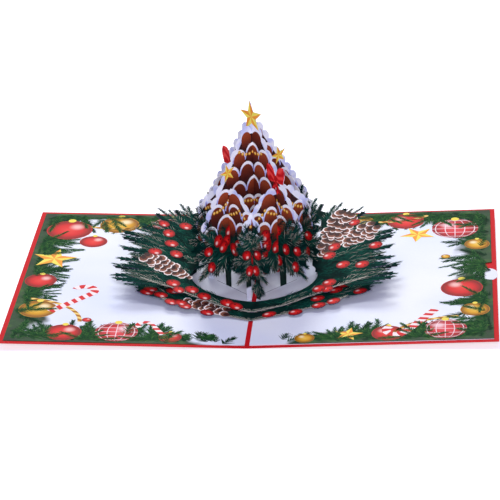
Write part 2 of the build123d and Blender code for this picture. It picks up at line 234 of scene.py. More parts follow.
def ball_colours(rim, body, light, gleam, lines=0.0):
    """Glass ball: dark rim, bright middle, a gleam, and white lines round it if asked."""

    def colour(tree):
        x, y, tone = local(tree)
        base = ramp(tree, reach_of(tree, x, y), (0.0, light), (0.55, body), (0.93, rim), (1.0, body))
        if lines:
            left_over = sums(tree, "SUBTRACT", 1.02, sums(tree, "POWER", y, 2.0))
            bulge = sums(tree, "SQRT", sums(tree, "MAXIMUM", left_over, 0.02))
            across = sums(tree, "DIVIDE", x, bulge)
            for way in (across, y):
                wave = sums(tree, "ABSOLUTE", sums(tree, "SINE", sums(tree, "MULTIPLY", way, lines)))
                base = blend(tree, step(tree, wave, 0.22, 0.10), base, (250, 222, 226))
        far = reach_of(tree, sums(tree, "ADD", x, 0.30), sums(tree, "SUBTRACT", y, 0.35))
        return blend(tree, sums(tree, "MULTIPLY", step(tree, far, 0.42, 0.05), 0.8), base, gleam)

    return colour


def ground_colours(tree):
    """Leaf's ground: pale in the middle, and dark fir shade towards the three outer edges."""
    place = add(tree, "ShaderNodeTexCoord").outputs["Object"]
    split = add(tree, "ShaderNodeSeparateXYZ", place)
    inner = sums(tree, "ABSOLUTE", split.outputs[0])
    out = sums(tree, "SUBTRACT", mm * sheet_end, inner)
    back = sums(tree, "SUBTRACT", mm * sheet_half, sums(tree, "ABSOLUTE", split.outputs[1]))
    near = sums(tree, "SMOOTH_MIN", out, back, 0.012)
    waver = add(tree, "ShaderNodeTexNoise", place, None, 38.0, 3.0).outputs["Fac"]
    near = sums(tree, "MULTIPLY_ADD", sums(tree, "SUBTRACT", waver, 0.5), 0.035, near)
    near = sums(tree, "MULTIPLY_ADD", step(tree, inner, 0.050, 0.018), 0.018, near)
    cloud = add(tree, "ShaderNodeTexNoise", place, None, 14.0, 2.0).outputs["Fac"]
    pale = ramp(tree, cloud, (0.3, (226, 236, 255)), (0.7, (244, 250, 255)))
    moss = add(tree, "ShaderNodeTexNoise", place, None, 90.0, 4.0).outputs["Fac"]
    green = ramp(tree, moss, (0.3, (8, 30, 18)), (0.55, (24, 62, 30)), (0.75, (62, 98, 40)))
    return blend(tree, step(tree, near, 0.019, 0.012), pale, green)


leaf_ground = card_stock("leaf ground", ground_colours, speckle=0.03)
for node in ("left_liner", "right_liner"):
    wear(node, leaf_ground)


def needle_colours(*stops, share=0.35):
    """Fir needle: its colour follows its own tone, darker at the root and lighter at the tip."""

    def colour(tree):
        along, across, tone = local(tree)
        own = sums(tree, "MULTIPLY", tone, 1 - share)
        return ramp(tree, sums(tree, "MULTIPLY_ADD", along, share, own), *stops)

    return colour


fir_ink = card_stock(
    "fir needle ink",
    needle_colours((0.0, (6, 26, 18)), (0.35, (18, 58, 34)), (0.65, (46, 96, 46)), (1.0, (120, 158, 84))),
    rough=0.8, sheen=0.05,
)
red_ball, lined_ball, gold_ball, bead_ink = (
    card_stock(name, ball_colours(*colours, lines=lines))
    for name, lines, colours in (
        ("red ball ink", 0.0, ((120, 8, 14), (214, 28, 32), (236, 66, 60), (255, 214, 206))),
        ("lined ball ink", 7.5, ((128, 16, 28), (206, 40, 52), (228, 84, 92), (255, 226, 230))),
        ("gold ball ink", 0.0, ((128, 74, 6), (220, 160, 24), (246, 206, 84), (255, 248, 206))),
        ("bead ink", 0.0, ((186, 118, 24), (240, 186, 66), (255, 222, 120), (255, 250, 220))),
    )
)


def gold_colours(tree):
    """Gold of the stars, from the dark half of an arm to the light half."""
    stops = ((0.0, (210, 104, 24)), (0.3, (246, 160, 56)), (0.6, (242, 216, 66)), (1.0, (250, 236, 104)))
    return ramp(tree, local(tree)[2], *stops)


def slant_wave(tree, slant):
    """Wave from -1 to 1 along a band, whose crests slant across it."""
    along, across, tone = local(tree)
    return sums(tree, "SINE", sums(tree, "MULTIPLY_ADD", across, slant, along))


def cane_colours(tree):
    """Sugar cane: red and white slanting stripes."""
    return blend(tree, step(tree, slant_wave(tree, 0.9), -0.1, 0.1), (250, 240, 238), (214, 26, 34))


def cord_colours(tree):
    """Twisted gold cord."""
    twist = sums(tree, "MULTIPLY_ADD", slant_wave(tree, 1.3), 0.5, 0.5)
    return ramp(tree, twist, (0.0, (150, 88, 16)), (0.5, (222, 162, 44)), (1.0, (252, 226, 140)))


gold_ink = card_stock("gold ink", gold_colours)
cane_ink = card_stock("cane ink", cane_colours)
cord_ink = card_stock("gold cord ink", cord_colours)


def disc(sheet, x, y, radius, paint, lift=0.06, stretch=1.0, turn=0.0, tone=0.5, sides=28):
    """Round or oval patch; its grain runs from -1 to 1 both ways."""
    face = []
    for i in range(sides):
        a = 2 * pi * i / sides
        p, q = stretch * radius * cos(a), radius * sin(a)
        px, py = x + p * cos(turn) - q * sin(turn), y + p * sin(turn) + q * cos(turn)
        face.append((px, py, lift, cos(a), sin(a)))
    sheet.append((face, paint, tone))


def flat_star(sheet, x, y, radius, paint, turn=0.0, lift=0.06, inner=0.42):
    """Faceted star: each arm has a light and a dark half."""
    ring = []
    for i in range(10):
        a = turn + pi / 2 + i * pi / 5
        reach = radius if i % 2 == 0 else radius * inner
        ring.append((x + reach * cos(a), y + reach * sin(a)))
    for i in range(10):
        (ax, ay), (bx, by) = ring[i], ring[(i + 1) % 10]
        tone = (0.95, 0.35)[i % 2] - 0.12 * abs(i - 5) / 5
        sheet.append(([(x, y, lift, 0, 0), (ax, ay, lift, 1, 0), (bx, by, lift, 0, 1)], paint, tone))


def band(sheet, line, width, paint, lift=0.06, tone=0.5):
    """Strip along a line of points; its grain runs along it, and from -1 to 1 across it."""
    run, rows = 0.0, []
    for i, (x, y) in enumerate(line):
        before, after = line[max(i - 1, 0)], line[min(i + 1, len(line) - 1)]
        dx, dy = after[0] - before[0], after[1] - before[1]
        size = hypot(dx, dy) or 1.0
        if i:
            run += hypot(x - line[i - 1][0], y - line[i - 1][1])
        nx, ny = -dy / size * width / 2, dx / size * width / 2
        rows.append(((x + nx, y + ny, lift, run, 1), (x - nx, y - ny, lift, run, -1)))
    for (a, b), (c, d) in zip(rows, rows[1:]):
        sheet.append(([a, b, d, c], paint, tone))


def arc(x, y, radius, start, end, count=16, squash=1.0):
    """Points on an arc, angles in degrees."""
    angles = [radians(start + (end - start) * i / count) for i in range(count + 1)]
    return [(x + radius * cos(a), y + squash * radius * sin(a)) for a in angles]


def mirrored(spot):
    """True where spot turns a patch over, so that its faces need turning back."""
    here = Vector(spot(20, 20, 0))
    a, b, lift = [Vector(spot(*p)) - here for p in ((21, 20, 0), (20, 21, 0), (20, 20, 1))]
    return a.cross(b).dot(lift) < 0


def lay(name, sheet, spot):
    """Mesh of a sheet's patches, each vertex put on the paper by spot; it rides with the card."""
    paints = list(dict.fromkeys(paint for face, paint, tone in sheet))
    corners = [corner for face, paint, tone in sheet for corner in face]
    mesh = bpy.data.meshes.new(name)
    starts, faces = 0, []
    for face, paint, tone in sheet:
        faces.append(tuple(range(starts, starts + len(face))))
        starts += len(face)
    mesh.from_pydata([Vector(spot(*c[:3])) * mm for c in corners], [], faces)
    for paint in paints:
        mesh.materials.append(paint)
    mesh.polygons.foreach_set("material_index", [paints.index(paint) for face, paint, tone in sheet])
    grain = mesh.attributes.new("grain", "FLOAT_VECTOR", "POINT")
    grain.data.foreach_set("vector", [v for c in corners for v in (c[3], c[4], 0.0)])
    tones = mesh.attributes.new("tone", "FLOAT", "POINT")
    tones.data.foreach_set("value", [tone for face, paint, tone in sheet for c in face])
    if mirrored(spot):
        mesh.flip_normals()
    mesh.validate()
    piece = bpy.data.objects.new(name, mesh)
    bpy.context.scene.collection.objects.link(piece)
    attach(piece, "root")
    return piece


def kept_value(tree, geometry, name, value, domain="POINT", kind="FLOAT"):
    """Geometry with a value kept on it under a name."""
    node = add(tree, "GeometryNodeStoreNamedAttribute", geometry, None, name, data_type=kind, domain=domain)
    tree.links.new(value, node.inputs["Value"])
    return node.outputs[0]


def fir_tree():
    """Geometry Nodes: needles on both sides of every stem, each a slim pointed leaf."""
    tree = bpy.data.node_groups.new("fir needles", "GeometryNodeTree")
    face = tree.interface
    face.new_socket("Stems", in_out="INPUT", socket_type="NodeSocketGeometry")
    for label in ("Spacing", "Width", "Lean", "Low", "High", "Darkest", "Lightest"):
        face.new_socket(label, in_out="INPUT", socket_type="NodeSocketFloat")
    face.new_socket("Seed", in_out="INPUT", socket_type="NodeSocketInt")
    face.new_socket("Ink", in_out="INPUT", socket_type="NodeSocketMaterial")
    face.new_socket("Needles", in_out="OUTPUT", socket_type="NodeSocketGeometry")
    given = add(tree, "NodeGroupInput").outputs
    blade = add(tree, "GeometryNodeMeshGrid", 1.0, 1.0, 4, 2)
    here = add(tree, "GeometryNodeInputPosition").outputs[0]
    split = add(tree, "ShaderNodeSeparateXYZ", here)
    along = sums(tree, "ADD", split.outputs[0], 0.5)
    across = sums(tree, "MULTIPLY", split.outputs[1], 2.0)
    full = sums(tree, "POWER", sums(tree, "MAXIMUM", sums(tree, "SUBTRACT", 1.03, along), 0.0), 0.6)
    wide = sums(tree, "MULTIPLY", sums(tree, "MULTIPLY", across, 0.5), full)
    grain = add(tree, "ShaderNodeCombineXYZ", along, across, 0.0)
    kept = kept_value(tree, blade.outputs[0], "grain", grain.outputs[0], kind="FLOAT_VECTOR")
    shaped = add(tree, "ShaderNodeCombineXYZ", along, wide, 0.0)
    blade = add(tree, "GeometryNodeSetPosition", kept, None, shaped.outputs[0])
    factor = add(tree, "GeometryNodeSplineParameter").outputs["Factor"]
    size = add(tree, "GeometryNodeInputRadius").outputs[0]
    stems = kept_value(tree, given["Stems"], "way", factor)
    stems = kept_value(tree, stems, "size", size)
    dots = add(tree, "GeometryNodeCurveToPoints", stems, mode="LENGTH")
    tree.links.new(given["Spacing"], dots.inputs["Length"])
    way = add(tree, "GeometryNodeInputNamedAttribute", "way", data_type="FLOAT").outputs[0]
    size = add(tree, "GeometryNodeInputNamedAttribute", "size", data_type="FLOAT").outputs[0]
    joined = add(tree, "GeometryNodeJoinGeometry")
    for number, side in enumerate((-1.0, 1.0)):
        seed = sums(tree, "ADD", given["Seed"], 10.0 * number)

        def chance(low, high, more, seed=seed):
            """Random value of each needle."""
            node = add(tree, "FunctionNodeRandomValue", None, None, low, high, data_type="FLOAT")
            tree.links.new(sums(tree, "ADD", seed, more), node.inputs["Seed"])
            return node.outputs[1]

        closer = sums(tree, "SUBTRACT", 1.0, sums(tree, "MULTIPLY", way, 0.55))
        lean = sums(tree, "MULTIPLY", sums(tree, "MULTIPLY", given["Lean"], closer), chance(0.7, 1.3, 1.0))
        spin = add(tree, "ShaderNodeCombineXYZ", 0.0, 0.0, sums(tree, "MULTIPLY", lean, side))
        turned = add(tree, "FunctionNodeRotateRotation", dots.outputs["Rotation"], rotation_space="LOCAL")
        face_up = add(tree, "FunctionNodeAlignRotationToVector", None, 1.0, dots.outputs["Tangent"], axis="X")
        tree.links.new(face_up.outputs[0], turned.inputs[0])
        tree.links.new(spin.outputs[0], turned.inputs[1])
        shorter = sums(tree, "SUBTRACT", 1.0, sums(tree, "MULTIPLY", sums(tree, "POWER", way, 2.0), 0.55))
        long = sums(tree, "MULTIPLY", sums(tree, "MULTIPLY", size, shorter), chance(0.75, 1.15, 2.0))
        scale = add(tree, "ShaderNodeCombineXYZ", long, given["Width"], 1.0)
        put = add(tree, "GeometryNodeInstanceOnPoints", dots.outputs["Points"])
        tree.links.new(blade.outputs[0], put.inputs["Instance"])
        tree.links.new(turned.outputs[0], put.inputs["Rotation"])
        tree.links.new(scale.outputs[0], put.inputs["Scale"])
        lift = add(tree, "ShaderNodeCombineXYZ", 0.0, 0.0, chance(given["Low"], given["High"], 3.0))
        put = add(tree, "GeometryNodeTranslateInstances", put.outputs[0], None, lift.outputs[0])
        put.inputs["Local Space"].default_value = False
        tone = chance(given["Darkest"], given["Lightest"], 4.0)
        tree.links.new(kept_value(tree, put.outputs[0], "tone", tone, "INSTANCE"), joined.inputs[0])
    real = add(tree, "GeometryNodeRealizeInstances", joined.outputs[0])
    painted = add(tree, "GeometryNodeSetMaterial", real.outputs[0])
    tree.links.new(given["Ink"], painted.inputs["Material"])
    done = add(tree, "NodeGroupOutput")
    tree.links.new(painted.outputs[0], done.inputs[0])
    return tree


needles_tree = fir_tree()
stem_parts = 4


def fir(name, layers, spot):
    """Printed fir: each layer is stems (x, y, heading, length, needle, bend) and the tree's settings."""
    bits = []
    for stems, settings in layers:
        line = bpy.data.curves.new(name + " stems", "CURVE")
        line.dimensions = "3D"
        for x, y, heading, length, needle, bend in stems:
            spline = line.splines.new("POLY")
            spline.points.add(stem_parts)
            px, py = x, y
            for i, point in enumerate(spline.points):
                point.co = (px, py, 0.0, 1.0)
                point.radius = needle
                a = radians(heading + bend * i / stem_parts)
                px, py = px + cos(a) * length / stem_parts, py + sin(a) * length / stem_parts
        twig = bpy.data.objects.new(name + " stems", line)
        bpy.context.scene.collection.objects.link(twig)
        grow = twig.modifiers.new("needles", "NODES")
        grow.node_group = needles_tree
        keys = {s.name: s.identifier for s in needles_tree.interface.items_tree if s.in_out == "INPUT"}
        for label, value in settings.items():
            grow[keys[label]] = value
        depsgraph = bpy.context.evaluated_depsgraph_get()
        mesh = bpy.data.meshes.new_from_object(twig.evaluated_get(depsgraph))
        bpy.data.objects.remove(twig)
        places = np.empty(len(mesh.vertices) * 3)
        mesh.vertices.foreach_get("co", places)
        mesh.vertices.foreach_set("co", [v for p in places.reshape(-1, 3) for v in Vector(spot(*p)) * mm])
        if mirrored(spot):
            mesh.flip_normals()
        bits.append(mesh)
    return bits


def layer(stems, paint, seed, lift, tone, spacing, width, lean):
    """Layer of printed fir: stems, ink and seed, its ranges of lift and tone, and how its needles stand."""
    return stems, {
        "Spacing": spacing, "Width": width, "Lean": lean, "Low": lift[0], "High": lift[1],
        "Darkest": tone[0], "Lightest": tone[1], "Seed": seed, "Ink": paint,
    }


def print_piece(name, sheet, layers, spot):
    """One printed face: its patches and its fir needles joined in one mesh."""
    piece = lay(name, sheet, spot)
    for bit in fir(name, layers, spot):
        extra = bpy.data.objects.new(name + " needles", bit)
        bpy.context.scene.collection.objects.link(extra)
        pair = [piece, extra]
        with bpy.context.temp_override(
            active_object=piece, object=piece, selected_objects=pair, selected_editable_objects=pair
        ):
            bpy.ops.object.join()
    return piece


def leaf_spot(side):
    """Place on a leaf's printed face of a point given by its distance from the fold and from the middle."""

    def spot(a, b, lift):
        return side * a, b, leaf_face[side] + (a - fold_edge) * tan(leaf_tilt) + lift

    return spot


leaf_tufts = {
    -1: (
        (58, -92, 90, 20), (100, -92, 95, 17), (142, 50, 180, 22), (142, -30, 170, 22), (76, 92, -95, 22),
        (124, -90, 120, 18),
    ),
    1: (
        (52, -92, 90, 17), (104, -92, 80, 20), (142, -40, 185, 22), (142, 10, 180, 18), (112, 90, -100, 22),
        (76, 92, -85, 18),
    ),
}
root_end, root_half = sheet_end - 1, sheet_half - 1


def leaf_stems(chance, side):
    """Stems that grow in from a leaf's three outer edges, tufts of them, and rows along the edges."""
    dark, light = [], []
    for i in range(190):
        edge = chance.random()
        if edge < 0.36:
            a, b, heading = chance.uniform(14, root_end), -root_half, 90 + chance.uniform(-48, 48)
            deep = 24 if a > 55 else 12
        elif edge < 0.64:
            a, b, heading = root_end, chance.uniform(-95, 95), 180 + chance.uniform(-42, 42)
            deep = 26
        else:
            a, b, heading = chance.uniform(20, root_end), root_half, -90 + chance.uniform(-48, 48)
            deep = 24 if a > 50 else 10
        start = chance.uniform(0, deep * 0.55)
        a += start * cos(radians(heading))
        b += start * sin(radians(heading))
        length = chance.uniform(0.55, 1.0) * (deep - start * 0.4)
        stem = (a, b, heading, length, chance.uniform(4.5, 7.0), chance.uniform(-25, 25))
        (dark if i % 5 < 2 else light).append(stem)
    for a, b, heading, reach in leaf_tufts[side]:
        for i in range(17):
            turn = heading + 11 * (i - 8) + chance.uniform(-5, 5)
            light.append((a, b, turn, reach * chance.uniform(0.75, 1.0), 4.6, chance.uniform(-10, 10)))
    for i in range(26):
        light.append((chance.uniform(138, 142), -94 + 7 * i, 90 + chance.uniform(-14, 14), 13, 4.6, 0))
    for i in range(34):
        a, b = (24 + 6 * i, 91) if i < 18 else (-60 + 6 * i, -91)
        light.append((a, b + chance.uniform(-2, 2), chance.uniform(-14, 14), 13, 4.6, 0))
    return dark, light


def inside_leaf(stems):
    """Stems whose tips stay on the printed sheet, with needles that end on it."""
    kept = []
    for a, b, heading, length, needle, bend in stems:
        turn = radians(heading + bend / 2)
        tip_a, tip_b = a + length * cos(turn), b + length * sin(turn)
        room = min(sheet_end - edge_margin - tip_a, sheet_half - edge_margin - abs(tip_b))
        if room > 2.0:
            kept.append((a, b, heading, length, min(needle, room + 1.0), bend))
    return kept


# A thin painted shadow lies along each front panel's slit, whose line meets the fold this far before the
# middle.
slit_line = 29.7
slit_shadow_paint = card_stock("painted slit shadow", (92, 88, 120), speckle=0.1)
leaf_motifs = {
    -1: (
        ("ball", 128, 70, 15, red_ball), ("ball", 96, 80, 13, gold_ball), ("lined", 62, 78, 15, lined_ball),
        ("star", 132, 24, 15, 8), ("ball", 136, -10, 10, red_ball), ("ball", 110, 52, 9, red_ball),
        ("ball", 132, -52, 12, gold_ball), ("ball", 112, -84, 11, red_ball),
        ("lined", 80, -82, 13, lined_ball), ("ball", 47, -88, 7, red_ball), ("star", 30, 84, 9, 20),
        ("small", 100, -66, 3, red_ball), ("cane", 118, -38, 14, 40), ("cane", 58, -82, 9, -30),
    ),
    1: (
        ("lined", 124, 68, 15, lined_ball), ("ball", 92, 82, 12, red_ball), ("star", 100, 60, 12, 30),
        ("ball", 60, 80, 13, gold_ball), ("ball", 138, 42, 8, gold_ball), ("ball", 128, -24, 13, red_ball),
        ("ball", 136, -56, 9, gold_ball), ("lined", 118, -82, 13, lined_ball),
        ("ball", 84, -86, 10, red_ball), ("star", 60, -86, 9, -12), ("ball", 34, -90, 6, gold_ball),
        ("small", 104, -70, 3, red_ball), ("cane", 98, -66, 14, 150), ("small", 118, 24, 3, gold_ball),
    ),
}
leaf_cords = {
    -1: (arc(146, -70, 42, 100, 178, 18, 0.8), arc(98, 97, 34, 200, 300, 18, 0.7)),
    1: (arc(130, -97, 46, 95, 175, 18, 0.7), arc(80, 100, 30, 200, 330, 16, 0.6)),
}
for side, word in ((-1, "left"), (1, "right")):
    chance = random.Random(20 + side)
    sheet = []
    for line in leaf_cords[side]:
        band(sheet, line, 2.6, cord_ink, lift=0.05)
    band(sheet, [(5.0, 5.0 - slit_line), (25.0, 25.0 - slit_line)], 0.4, slit_shadow_paint, lift=0.02)
    for kind, a, b, size, extra in leaf_motifs[side]:
        if kind == "star":
            flat_star(sheet, a, b, size, gold_ink, turn=radians(extra), lift=0.055)
        elif kind == "cane":
            swing = radians(extra)
            hook = arc(0, 1.3 * size, 0.45 * size, 180, -20, 12)
            bent = [(0.45 * size - 0.9 * size, -1.2 * size)] + hook
            c, d = cos(swing), sin(swing)
            line = [(a + p * c - q * d, b + p * d + q * c) for p, q in bent]
            band(sheet, line, 0.38 * size, cane_ink, lift=0.07)
        else:
            disc(sheet, a, b, size, extra, lift=0.05)
            if kind != "small":
                disc(sheet, a, b + size * 1.02, size * 0.18, gold_ink, lift=0.058, tone=0.8, sides=10)
    dark, light = leaf_stems(chance, side)
    layers = (
        layer(inside_leaf(dark), fir_ink, 3, (0.01, 0.03), (0.0, 0.35), 0.9, 0.75, 0.85),
        layer(inside_leaf(light[::2]), fir_ink, 5, (0.03, 0.048), (0.15, 0.8), 0.9, 0.6, 0.8),
        layer(inside_leaf(light[1::6]), fir_ink, 7, (0.072, 0.09), (0.2, 0.9), 0.9, 0.6, 0.75),
    )
    print_piece(word + "_leaf_print", sheet, layers, leaf_spot(side))

# Tree panels
# Six slotted panels of die-cut card, printed on both faces: gingerbread scales with icing under a
# rim of snow, and fir with berries round the foot. Stars and bows are cut in one with them.
half_root = sqrt(0.5)
panel_gap = 21.0
snow_first, snow_run, snow_drop, centre_peak = 5.0, 4.3, 6.6, 100.0
# Where a side panel's snow humps run: distance from its middle line and height.
side_edge = ((0, 66.0), (4.8, 64.6), (10.2, 62.5), (14.8, 57.5), (19.5, 53.5), (24.2, 49.5), (28, 46))


def panel_colours(tree):
    """Panel under its print: snow above, dark fir below, and white feet at the corners."""
    place = add(tree, "ShaderNodeTexCoord").outputs["Object"]
    split = add(tree, "ShaderNodeSeparateXYZ", place)
    height = split.outputs[2]
    soft = add(tree, "ShaderNodeTexNoise", place, None, 120.0, 2.0).outputs["Fac"]
    snow = ramp(tree, soft, (0.40, (206, 214, 250)), (0.55, (244, 248, 255)))
    green = ramp(tree, soft, (0.35, (4, 18, 16)), (0.6, (10, 36, 30)))
    waver = sums(tree, "MULTIPLY_ADD", sums(tree, "SUBTRACT", soft, 0.5), 0.012, height)
    base = blend(tree, step(tree, waver, 0.0455, 0.0440), snow, green)
    corner = step(tree, sums(tree, "ABSOLUTE", split.outputs[0]), 0.024, 0.026)
    left = step(tree, split.outputs[0], 0.0, -0.001)
    front = sums(tree, "MULTIPLY", step(tree, split.outputs[1], -0.026, -0.028), left)
    white = sums(tree, "MULTIPLY", sums(tree, "MAXIMUM", corner, front), step(tree, height, 0.0100, 0.0085))
    return blend(tree, white, base, (232, 238, 252))


panel_card = card_stock("panel card", panel_colours, speckle=0.03)


def ginger_colours(tree):
    """Gingerbread: brown with a fine crumb, darker to the foot of each scale."""
    along, up, tone = local(tree)
    place = add(tree, "ShaderNodeTexCoord").outputs["Object"]
    crumb = add(tree, "ShaderNodeTexNoise", place, None, 1500.0, 2.0).outputs["Fac"]
    value = sums(tree, "MULTIPLY_ADD", crumb, 0.35, sums(tree, "MULTIPLY_ADD", up, 0.35, 0.15))
    value = sums(tree, "MULTIPLY", value, tone)
    return ramp(tree, value, (0.0, (52, 18, 18)), (0.22, (100, 38, 24)), (0.6, (152, 66, 36)))


def icing_colours(tree):
    """Icing: white, with a lilac shade to the foot."""
    along, up, tone = local(tree)
    place = add(tree, "ShaderNodeTexCoord").outputs["Object"]
    soft = add(tree, "ShaderNodeTexNoise", place, None, 260.0, 2.0).outputs["Fac"]
    value = sums(tree, "MULTIPLY_ADD", soft, 0.7, sums(tree, "MULTIPLY_ADD", up, 0.45, -0.05))
    return ramp(tree, value, (0.10, (176, 182, 236)), (0.35, (226, 232, 254)), (0.55, (250, 252, 255)))


ginger_ink = card_stock("gingerbread ink", ginger_colours, speckle=0.03)
icing_ink = card_stock("icing ink", icing_colours, speckle=0.02)
recess_ink = card_stock("dark gap ink", (52, 22, 24), speckle=0.2, grain=500.0)
berry_ink = card_stock("berry ink", ball_colours((118, 4, 12), (206, 22, 26), (232, 48, 40), (255, 236, 230)))
berry_eye = card_stock("berry eye ink", (48, 6, 10), speckle=0.1)


def bow_colours(tree):
    """Red ribbon with folds that run to the knot."""
    turn, up, tone = local(tree)
    folds = sums(tree, "SINE", sums(tree, "MULTIPLY", turn, 9.0))
    value = sums(tree, "MULTIPLY_ADD", folds, 0.25, tone)
    return ramp(tree, value, (0.1, (120, 6, 12)), (0.5, (214, 24, 30)), (0.95, (246, 78, 72)))


bow_ink = card_stock("bow ink", bow_colours)
spruce_ink = card_stock(
    "spruce needle ink",
    needle_colours((0.0, (2, 14, 18)), (0.35, (6, 42, 40)), (0.65, (10, 80, 66)), (1.0, (78, 148, 112))),
    rough=0.8, sheen=0.03,
)
frost_ink = card_stock(
    "frosted needle ink",
    needle_colours(
        (0.0, (8, 54, 48)), (0.35, (40, 92, 76)), (0.6, (206, 196, 178)), (1.0, (255, 250, 240)), share=0.7
    ),
    rough=0.8, sheen=0.03,
)


def panel_width(z, centre):
    """Half width at a height of the line that the snow humps follow."""
    if centre:
        return snow_first + snow_run * (centre_peak - z) / snow_drop
    for (s0, z0), (s1, z1) in zip(side_edge, side_edge[1:]):
        if z >= z1:
            return s0 + (s1 - s0) * (z0 - z) / (z0 - z1)
    return side_edge[-1][0]


def tombstone(sheet, s, top, width, height, paint, lift, tone=1.0):
    """Scale with a round head and a narrower foot; its grain runs up from -1 at the foot to 1 at the top."""
    bend = 0.62 * width
    head = [(s + width / 2 * cos(radians(a)), top - bend + bend * sin(radians(a))) for a in range(0, 181, 18)]
    rim = [(s + 0.40 * width, top - height)] + head + [(s - 0.40 * width, top - height)]
    face = [(p, q, lift, (p - s) * 2 / width, 1 - 2 * (top - q) / height) for p, q in rim]
    sheet.append((face, paint, tone))


def berry(sheet, x, y, radius, turn, lift, stretch=1.2):
    """Printed berry with its dark eye."""
    disc(sheet, x, y, radius, berry_ink, lift, stretch, turn, sides=14)
    eye_x, eye_y = x + 0.55 * radius * cos(turn - 0.9), y + 0.55 * radius * sin(turn - 0.9)
    disc(sheet, eye_x, eye_y, radius * 0.17, berry_eye, lift + 0.008, sides=6)


def scale_rows(sheet, centre, chance):
    """Dark field and rows of scales, each row laid over the feet of the row above."""
    top, pitch = (102.6, 10.4) if centre else (68.0, 9.6)
    lowest = 44.0
    sides = []
    for i in range(25):
        z = lowest + (top - 4 - lowest) * i / 24
        sides.append((max(panel_width(z, centre) + 0.4, 1.0), z))
    outline = [(s, z, 0.01, 0, 0) for s, z in sides] + [(-s, z, 0.01, 0, 0) for s, z in sides[::-1]]
    sheet.append((outline, recess_ink, 1.0))
    row = 0
    while top > lowest + 1:
        reach = panel_width(top - 6.5, centre) + 1.6
        count = max(2, round(2 * reach / 11.6))
        apart = 2 * reach / count
        for i in range(count):
            edge = i in (0, count - 1)
            s = -reach + apart * (i + 0.5) + chance.uniform(-0.6, 0.6)
            head = top + (chance.uniform(-1.6, 1.4) - (2.0 if edge else 0.0) if row else 0.0)
            wide = apart * chance.uniform(1.0, 1.16)
            lift = 0.016 + 0.010 * row + 0.0006 * i
            tone = chance.choice((0.5, 1.0, 1.15, 1.3))
            if row:
                tombstone(sheet, s, head, wide, 8.5, icing_ink, lift)
            tombstone(sheet, s, head - 2.0, wide - 1.7, 11.2, ginger_ink, lift + 0.005, tone=tone)
        top -= pitch
        row += 1


def bead_string(sheet, points, sag, lift=0.10, radius=1.15):
    """Gold beads hung between points along the panel."""
    for (s0, z0), (s1, z1) in zip(points, points[1:]):
        count = max(3, round(hypot(s1 - s0, z1 - z0) / (radius * 2.3)))
        for i in range(count):
            t = i / count
            s, z = s0 + (s1 - s0) * t, z0 + (z1 - z0) * t - sag * 4 * t * (1 - t)
            disc(sheet, s, z, radius, bead_ink, lift, sides=8)


def panel_stems(chance, hem, count):
    """Fir stems round the foot of a panel: those inside it, and those along its lower edge and ends."""
    inner, rim = [], []
    for i in range(count):
        s = chance.uniform(-hem, hem)
        z = chance.uniform(25, 42)
        out = s / hem
        heading = -90 + out * 70 + chance.uniform(-50, 50)
        if z > 31 and abs(out) > 0.5:
            heading = (25 if out > 0 else 155) + chance.uniform(-30, 35)
        length, needle = chance.uniform(8, 13), chance.uniform(5.5, 7.5)
        inner.append((s, z, heading, length, needle, chance.uniform(-20, 20)))
    for i in range(int(hem / 2.2)):
        s = -hem + 4.4 * (i + 0.5)
        heading = -90 + 40 * s / hem + chance.uniform(-14, 14)
        rim.append((s, 25.0, heading, 11.0, 6.4, chance.uniform(-15, 15)))
    for side in (-1, 1):
        for z, angle in ((22, -35), (25, -12), (28, 5), (31, 22), (35, 40), (38, 62)):
            heading = angle if side > 0 else 180 - angle
            rim.append((side * (hem - 2), z, heading, 13.5, 6.4, side * 12))
    return inner, rim


def panel_spot(rising, distance, face):
    """Place on a panel's face of a point given along the panel and by its height."""
    across = (half_root, -half_root) if rising else (half_root, half_root)
    slope = half_root if rising else -half_root

    def spot(s, z, lift):
        gap = distance + face * (0.15 + lift)
        return s * half_root + gap * across[0], s * slope + gap * across[1], z

    return spot


def bow_print(sheet, x, y, span):
    """Red ribbon bow: two loops, two tails and a knot, with folds towards the knot."""
    half = span / 2
    for side in (-1, 1):
        loop = (
            (0, 0.16), (0.22, 0.80), (0.48, 1.06), (0.92, 1.08), (1.03, 0.7), (1.0, 0.35), (0.82, -0.28),
            (0.4, -0.3), (0, -0.2),
        )
        tail = ((0, 0.1), (0.62, -1.25), (0.30, -1.05), (0.10, -1.30), (-0.08, -0.1))
        for shape, tone, lift in ((tail, 0.42, 0.10), (loop, 0.62, 0.11)):
            face = [(x + side * p * half, y + q * half, lift, atan2(q, abs(p) + 0.2), q) for p, q in shape]
            sheet.append((face[::side], bow_ink, tone))
    disc(sheet, x, y, half * 0.2, bow_ink, 0.12, tone=0.35, sides=10)


